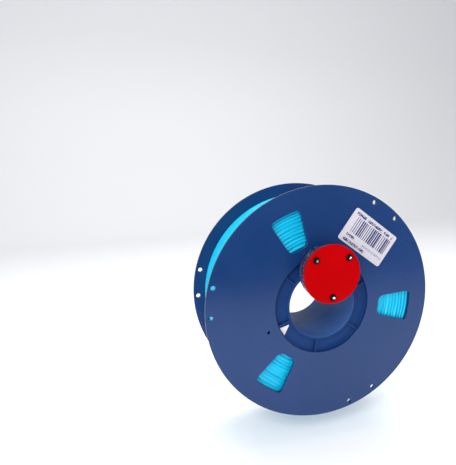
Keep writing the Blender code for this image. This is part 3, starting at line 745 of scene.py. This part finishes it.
def build_label(paper):
    """A sticker with rounded corners, square to the radius through its middle."""
    half_length, half_height, corner = LABEL_LENGTH / 2, LABEL_HEIGHT / 2, 0.002
    outline = rounded([(-half_length, -half_height, corner), (half_length, -half_height, corner),
                       (half_length, half_height, corner), (-half_length, half_height, corner)])
    mesh = sheet_cut("spool_label", outline, [], -0.00009, 0.00009, 0.00004)
    x, z = polar(LABEL_R, FIRST_PAIR_ANGLE)
    place = Matrix.Translation((x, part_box("spool_label")[1].y - 0.0001, z))
    place @= Matrix.Rotation(radians(90.0 - FIRST_PAIR_ANGLE), 4, "Y")
    piece("paper_label", mesh, paper, "spool", "label_paper", "spool_label", place=place)


def build_mark(white):
    """The white triangle printed in the recess."""
    low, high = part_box("arrow_mark")
    base_r, tip_r = RECESS_R - 0.0008, BORE_R + BORE_WALL + 0.0008
    half = degrees(0.0039 / base_r)
    corners = [(*polar(tip_r, 207.0), 0.0004), (*polar(base_r, 210.0 + half), 0.0004),
               (*polar(base_r, 210.0 - half), 0.0004)]
    mesh = sheet_cut("printed_arrow", rounded(corners), [], low.y, high.y, 0.00008)
    piece("printed_arrow", mesh, white, "spool", "mark_white", "arrow_mark")


# ---- roller and bearings ----------------------------------------------------------------
def ring_of(node, bore, edge):
    """Profile of a plain ring with rounded corners, the size of a CAD node."""
    low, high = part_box(node)
    return softened([(bore, low.y), (high.x, low.y), (high.x, high.y), (bore, high.y)], edge)


def build_roller(steel, sleeve_finish, race_finish):
    """Shaft, sleeve and thrust washers with turned edges."""
    centre = (0.0, ROLLER_Z)
    low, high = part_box("roller_shaft")
    radius, edge = high.x, 0.0005
    rod = [(radius - edge, low.y), (radius, low.y + edge), (radius, high.y - edge), (radius - edge, high.y)]
    piece("roller_rod", finish_mesh(turned(rod, 64, False, centre), "roller_rod"), steel, "roller",
          "shaft_steel", "roller_shaft")
    sleeve = turned(ring_of("roller_sleeve", ROLLER_BORE_R, 0.0003), 96, True, centre)
    piece("roller_tube", finish_mesh(sleeve, "roller_tube"), sleeve_finish, "roller", "sleeve_plastic",
          "roller_sleeve")
    for end, _ in ENDS:
        washer = turned(ring_of(f"{end}_thrust_washer", ROLLER_BORE_R, 0.0001), 64, True, centre)
        piece(f"{end}_washer", finish_mesh(washer, f"{end}_washer"), race_finish, "roller", "bearing_steel",
              f"{end}_thrust_washer")


def build_bearing(end, race_finish):
    """Ground races with broken edges, and pressed shields with a rolled groove."""
    low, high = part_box(f"{end}_bearing_outer_race")
    inner = [(ROLLER_BORE_R, low.y), (INNER_RACE_R, low.y), (INNER_RACE_R, high.y), (ROLLER_BORE_R, high.y)]
    outer = ring_of(f"{end}_bearing_outer_race", OUTER_RACE_BORE_R, 0.00025)
    rings = [("outer_ring", "hubs", "outer_race", outer),
             ("inner_ring", "roller", "inner_race", softened(inner, 0.0002))]
    for place in ("inboard", "outboard"):
        near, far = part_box(f"{end}_bearing_{place}_shield")
        start, middle, stop = SHIELD_GROOVE_R - 0.0002, SHIELD_GROOVE_R, SHIELD_GROOVE_R + 0.0002
        rings.append((f"{place}_cover", "hubs", f"{place}_shield", [
            (SHIELD_BORE_R, near.y), (start, near.y), (middle, near.y + SHIELD_GROOVE_DEPTH), (stop, near.y),
            (far.x, near.y), (far.x, far.y), (stop, far.y), (middle, far.y - SHIELD_GROOVE_DEPTH),
            (start, far.y), (SHIELD_BORE_R, far.y)]))
    for name, body, node, profile in rings:
        ring = turned(profile, 96, True, (0.0, ROLLER_Z))
        mesh = finish_mesh(ring, name, 20.0 if name.endswith("cover") else 38.0)
        piece(f"{end}_{name}", mesh, race_finish, body, "bearing_steel", f"{end}_bearing_{node}")


# ---- hubs -------------------------------------------------------------------------------
def notch_outline():
    """Cradle outline: a disc with a U cut down to the bearing seat."""
    mouth = degrees(asin(NOTCH_R / INNER_HUB_R))
    start = (INNER_HUB_R * cos(radians(90 + mouth)), HUB_Z + INNER_HUB_R * sin(radians(90 + mouth)))
    disc = arc((0.0, HUB_Z), (INNER_HUB_R, INNER_HUB_R), 90 + mouth, 450 - mouth, 120)
    return [start, *disc, (NOTCH_R, ROLLER_Z), *arc((0.0, ROLLER_Z), (NOTCH_R, NOTCH_R), 0, -180, 32)]


def screw_head():
    """A domed socket-head screw along Y, its seat at y = 0 and its dome towards -Y."""
    low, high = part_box("front_screw_1")
    head, height, brim = (high.x - low.x) / 2, SCREW_HEAD_HEIGHT, 0.0001
    tip, point = high.y - low.y - height, 0.0003
    profile = [(SCREW_R - point, tip), (SCREW_R, tip - point), (SCREW_R, 0.0), (head - brim, 0.0),
               (head, -brim)]
    first, last = 12, 70
    for step in range(1, 9):
        turn = radians(first + (last - first) * step / 8)
        rise = (height - brim) * sin(turn) / sin(radians(last))
        profile.append((head * cos(turn) / cos(radians(first)), -brim - rise))
    blank = finish_mesh(turned(profile, 48, closed=False), "screw_blank")
    bm = bmesh.new()
    skin(bm, [[bm.verts.new((x, y, z)) for x, z in hexagon(SOCKET_FLAT_R, 30)]
              for y in (-height - 0.001, SOCKET_DEPTH - height)], False)
    mesh = carved(blank, finish_mesh(bm, "socket"), "screw")
    mesh.set_sharp_from_angle(angle=radians(32))
    rubbed = mesh.attributes.new(RUBBED, "FLOAT", "FACE")
    for face in mesh.polygons:
        near = hypot(face.center.x, face.center.z) < SOCKET_FLAT_R * 1.05
        rubbed.data[face.index].value = float(near and abs(face.center.y) < height - 0.0001)
    return mesh


def build_hub(end, side, finishes):
    """Outer plate, backing plate, cradle, screws and nuts of one wall hub."""
    holes = [circle(SCREW_R + 0.0003, 24, place) for place in screw_places()]
    for name, node, outline, edge, slot in (
            ("face_plate", "outer_plate", circle(PLATE_R, 192, (0.0, HUB_Z)), 0.00035, "red_plate"),
            ("wall_plate", "backing_plate", circle(INNER_HUB_R, 160, (0.0, HUB_Z)), 0.0003, "frosted_clear"),
            ("bearing_cradle", "cradle", notch_outline(), 0.0003, "tinted_clear")):
        low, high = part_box(f"{end}_{node}")
        mesh = sheet_cut(f"{end}_{name}", outline, holes, low.y, high.y, edge)
        piece(f"{end}_{name}", mesh, finishes[slot], "hubs", slot, f"{end}_{node}")
    for index, (x, z) in enumerate(screw_places(), 1):
        low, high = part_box(f"{end}_screw_{index}")
        mesh = screw_head()
        mesh.transform(Matrix.Rotation(radians(17.0 * index + 40.0 * side), 4, "Y"))
        if side > 0:
            mesh.transform(Matrix.Rotation(pi, 4, "Z"))
        seat = high.y - SCREW_HEAD_HEIGHT if side > 0 else low.y + SCREW_HEAD_HEIGHT
        mesh.transform(Matrix.Translation((x, seat, z)))
        piece(f"{end}_bolt_{index}", mesh, finishes["black_screw"], "hubs", "black_screw",
              f"{end}_screw_{index}")
        low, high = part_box(f"{end}_nut_{index}")
        corners = [(x + across, z + up, 0.0002) for across, up in hexagon((high.z - low.z) / 2, 0)]
        thread = circle(SCREW_R + 0.0001, 24, (x, z))
        nut = sheet_cut("nut", rounded(corners, 2), [thread], low.y, high.y, 0.00022)
        piece(f"{end}_hex_nut_{index}", nut, finishes["zinc_nut"], "hubs", "zinc_nut", f"{end}_nut_{index}")


# ---- stage ------------------------------------------------------------------------------
def build_backdrop():
    """A plain pale floor that sweeps up behind, and a pale apron before it."""
    depth, bend, height, width, reach = 1.1, 0.5, 1.6, 2.4, 4.0
    curve = arc((depth, FLOOR_Z + bend), (bend, bend), -90, 0, 24)
    line = [(-FLOOR_REACH, FLOOR_Z), (depth, FLOOR_Z), *curve, (depth + bend, FLOOR_Z + height)]
    front = [(-reach, FLOOR_Z), (-FLOOR_REACH, FLOOR_Z)]
    paint = Finish("studio_sweep", (0.80, 0.805, 0.82), 0.7, Specular_IOR_Level=0.1,
                   Emission_Color=(1.0, 1.0, 1.0, 1.0), Emission_Strength=0.09)
    for name, run, mirrored in (("studio_sweep", line, True), ("studio_apron", front, False)):
        mesh = bpy.data.meshes.new(name)
        verts = [(x, y, z) for y, z in run for x in (-width, width)]
        faces = [(2 * i, 2 * i + 1, 2 * i + 3, 2 * i + 2) for i in range(len(run) - 1)]
        mesh.from_pydata(verts, [], faces)
        mesh.shade_smooth()
        mesh.materials.append(paint.material)
        sheet = bpy.data.objects.new(name, mesh)
        sheet.visible_glossy = mirrored
        bpy.context.collection.objects.link(sheet)


def build_world():
    """Soft surrounding light: pale above the horizon, and dim below it."""
    world = bpy.data.worlds.new("studio")
    bpy.context.scene.world = world
    world.use_nodes = True
    nodes, links = world.node_tree.nodes, world.node_tree.links
    coords = nodes.new("ShaderNodeTexCoord")
    split = nodes.new("ShaderNodeSeparateXYZ")
    ramp = nodes.new("ShaderNodeMapRange")
    mix = nodes.new("ShaderNodeMix")
    mix.data_type = "RGBA"
    mix.inputs[6].default_value = (0.10, 0.13, 0.18, 1.0)
    mix.inputs[7].default_value = (0.96, 0.97, 1.0, 1.0)
    ramp.inputs["From Min"].default_value = -0.14
    ramp.inputs["From Max"].default_value = 0.03
    links.new(coords.outputs["Generated"], split.inputs[0])
    links.new(split.outputs[2], ramp.inputs["Value"])
    links.new(ramp.outputs[0], mix.inputs[0])
    links.new(mix.outputs[2], nodes["Background"].inputs["Color"])
    nodes["Background"].inputs["Strength"].default_value = 0.62


def build_lights():
    """Soft rectangular lights, all turned to the spool."""
    for name, place, size, energy in (
            ("key", (-0.60, -0.85, 0.80), (0.5, 0.4), 9.5),
            ("fill", (0.90, -0.45, 0.35), (0.8, 0.8), 3.5),
            ("left", (-0.70, -0.62, 0.10), (0.6, 0.5), 4.0),
            ("top", (0.05, 0.20, 1.0), (0.9, 0.6), 8.0)):
        light = bpy.data.lights.new(name, "AREA")
        light.shape = "RECTANGLE"
        light.size, light.size_y = size
        light.energy = energy
        lamp = bpy.data.objects.new(name, light)
        lamp.location = place
        lamp.rotation_euler = (-Vector(place)).to_track_quat("-Z", "Y").to_euler()
        bpy.context.collection.objects.link(lamp)


def build_camera():
    """A close camera a little above and to the left of the front, turned to the left of the spool."""
    distance, azimuth, elevation = 0.370, radians(-24.35), radians(17.9)
    yaw, pitch, roll = radians(12.89), radians(-8.95), radians(-2.18)
    ahead = Vector((sin(yaw) * cos(pitch), cos(yaw) * cos(pitch), sin(pitch)))
    right = Vector((cos(yaw), -sin(yaw), 0.0))
    up = right.cross(ahead)
    right, up = right * cos(roll) + up * sin(roll), up * cos(roll) - right * sin(roll)
    data = bpy.data.cameras.new("camera")
    data.lens, data.sensor_width = 30.2, 36.0
    data.clip_start = 0.01
    camera = bpy.data.objects.new("camera", data)
    place = Vector((sin(azimuth) * cos(elevation), -cos(azimuth) * cos(elevation), sin(elevation))) * distance
    camera.matrix_world = Matrix.Translation(place) @ Matrix((right, up, -ahead)).transposed().to_4x4()
    bpy.context.collection.objects.link(camera)
    bpy.context.scene.camera = camera


def main():
    build_camera()
    build_backdrop()
    build_world()
    build_lights()
    bpy.context.scene.view_settings.view_transform = "Standard"
    flange_plastic = spool_plastic("spool_plastic", 0.23, 0.38, rim_gloss=0.095)
    core_plastic = spool_plastic("core_plastic", 0.42, 0.12)
    filament = silk_filament()
    race = plain_metal("ground_steel", (0.62, 0.62, 0.64), 0.22, (1.0, 8.0, 1.0))
    rod = plain_metal("drawn_steel", (0.56, 0.57, 0.59), 0.26, (1.0, 0.1, 1.0))
    zinc = plain_metal("zinc", (0.62, 0.62, 0.63), 0.34, (1.0, 1.0, 1.0))
    finishes = {"red_plate": red_acrylic(), "frosted_clear": frosted_sheet(), "tinted_clear": tinted_clear(),
                "black_screw": black_oxide(), "zinc_nut": zinc}
    for end, side in ENDS:
        build_flange(end, side, flange_plastic)
        build_core(end, side, core_plastic)
        build_bearing(end, race)
        build_hub(end, side, finishes)
        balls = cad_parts[f"{end}_bearing_balls"]
        balls.data.materials.clear()
        balls.data.materials.append(race)
    build_winding_body(filament)
    build_strand(filament)
    build_label(label_paper())
    build_mark(mark_white())
    build_roller(rod, sleeve_plastic(), race)


main()
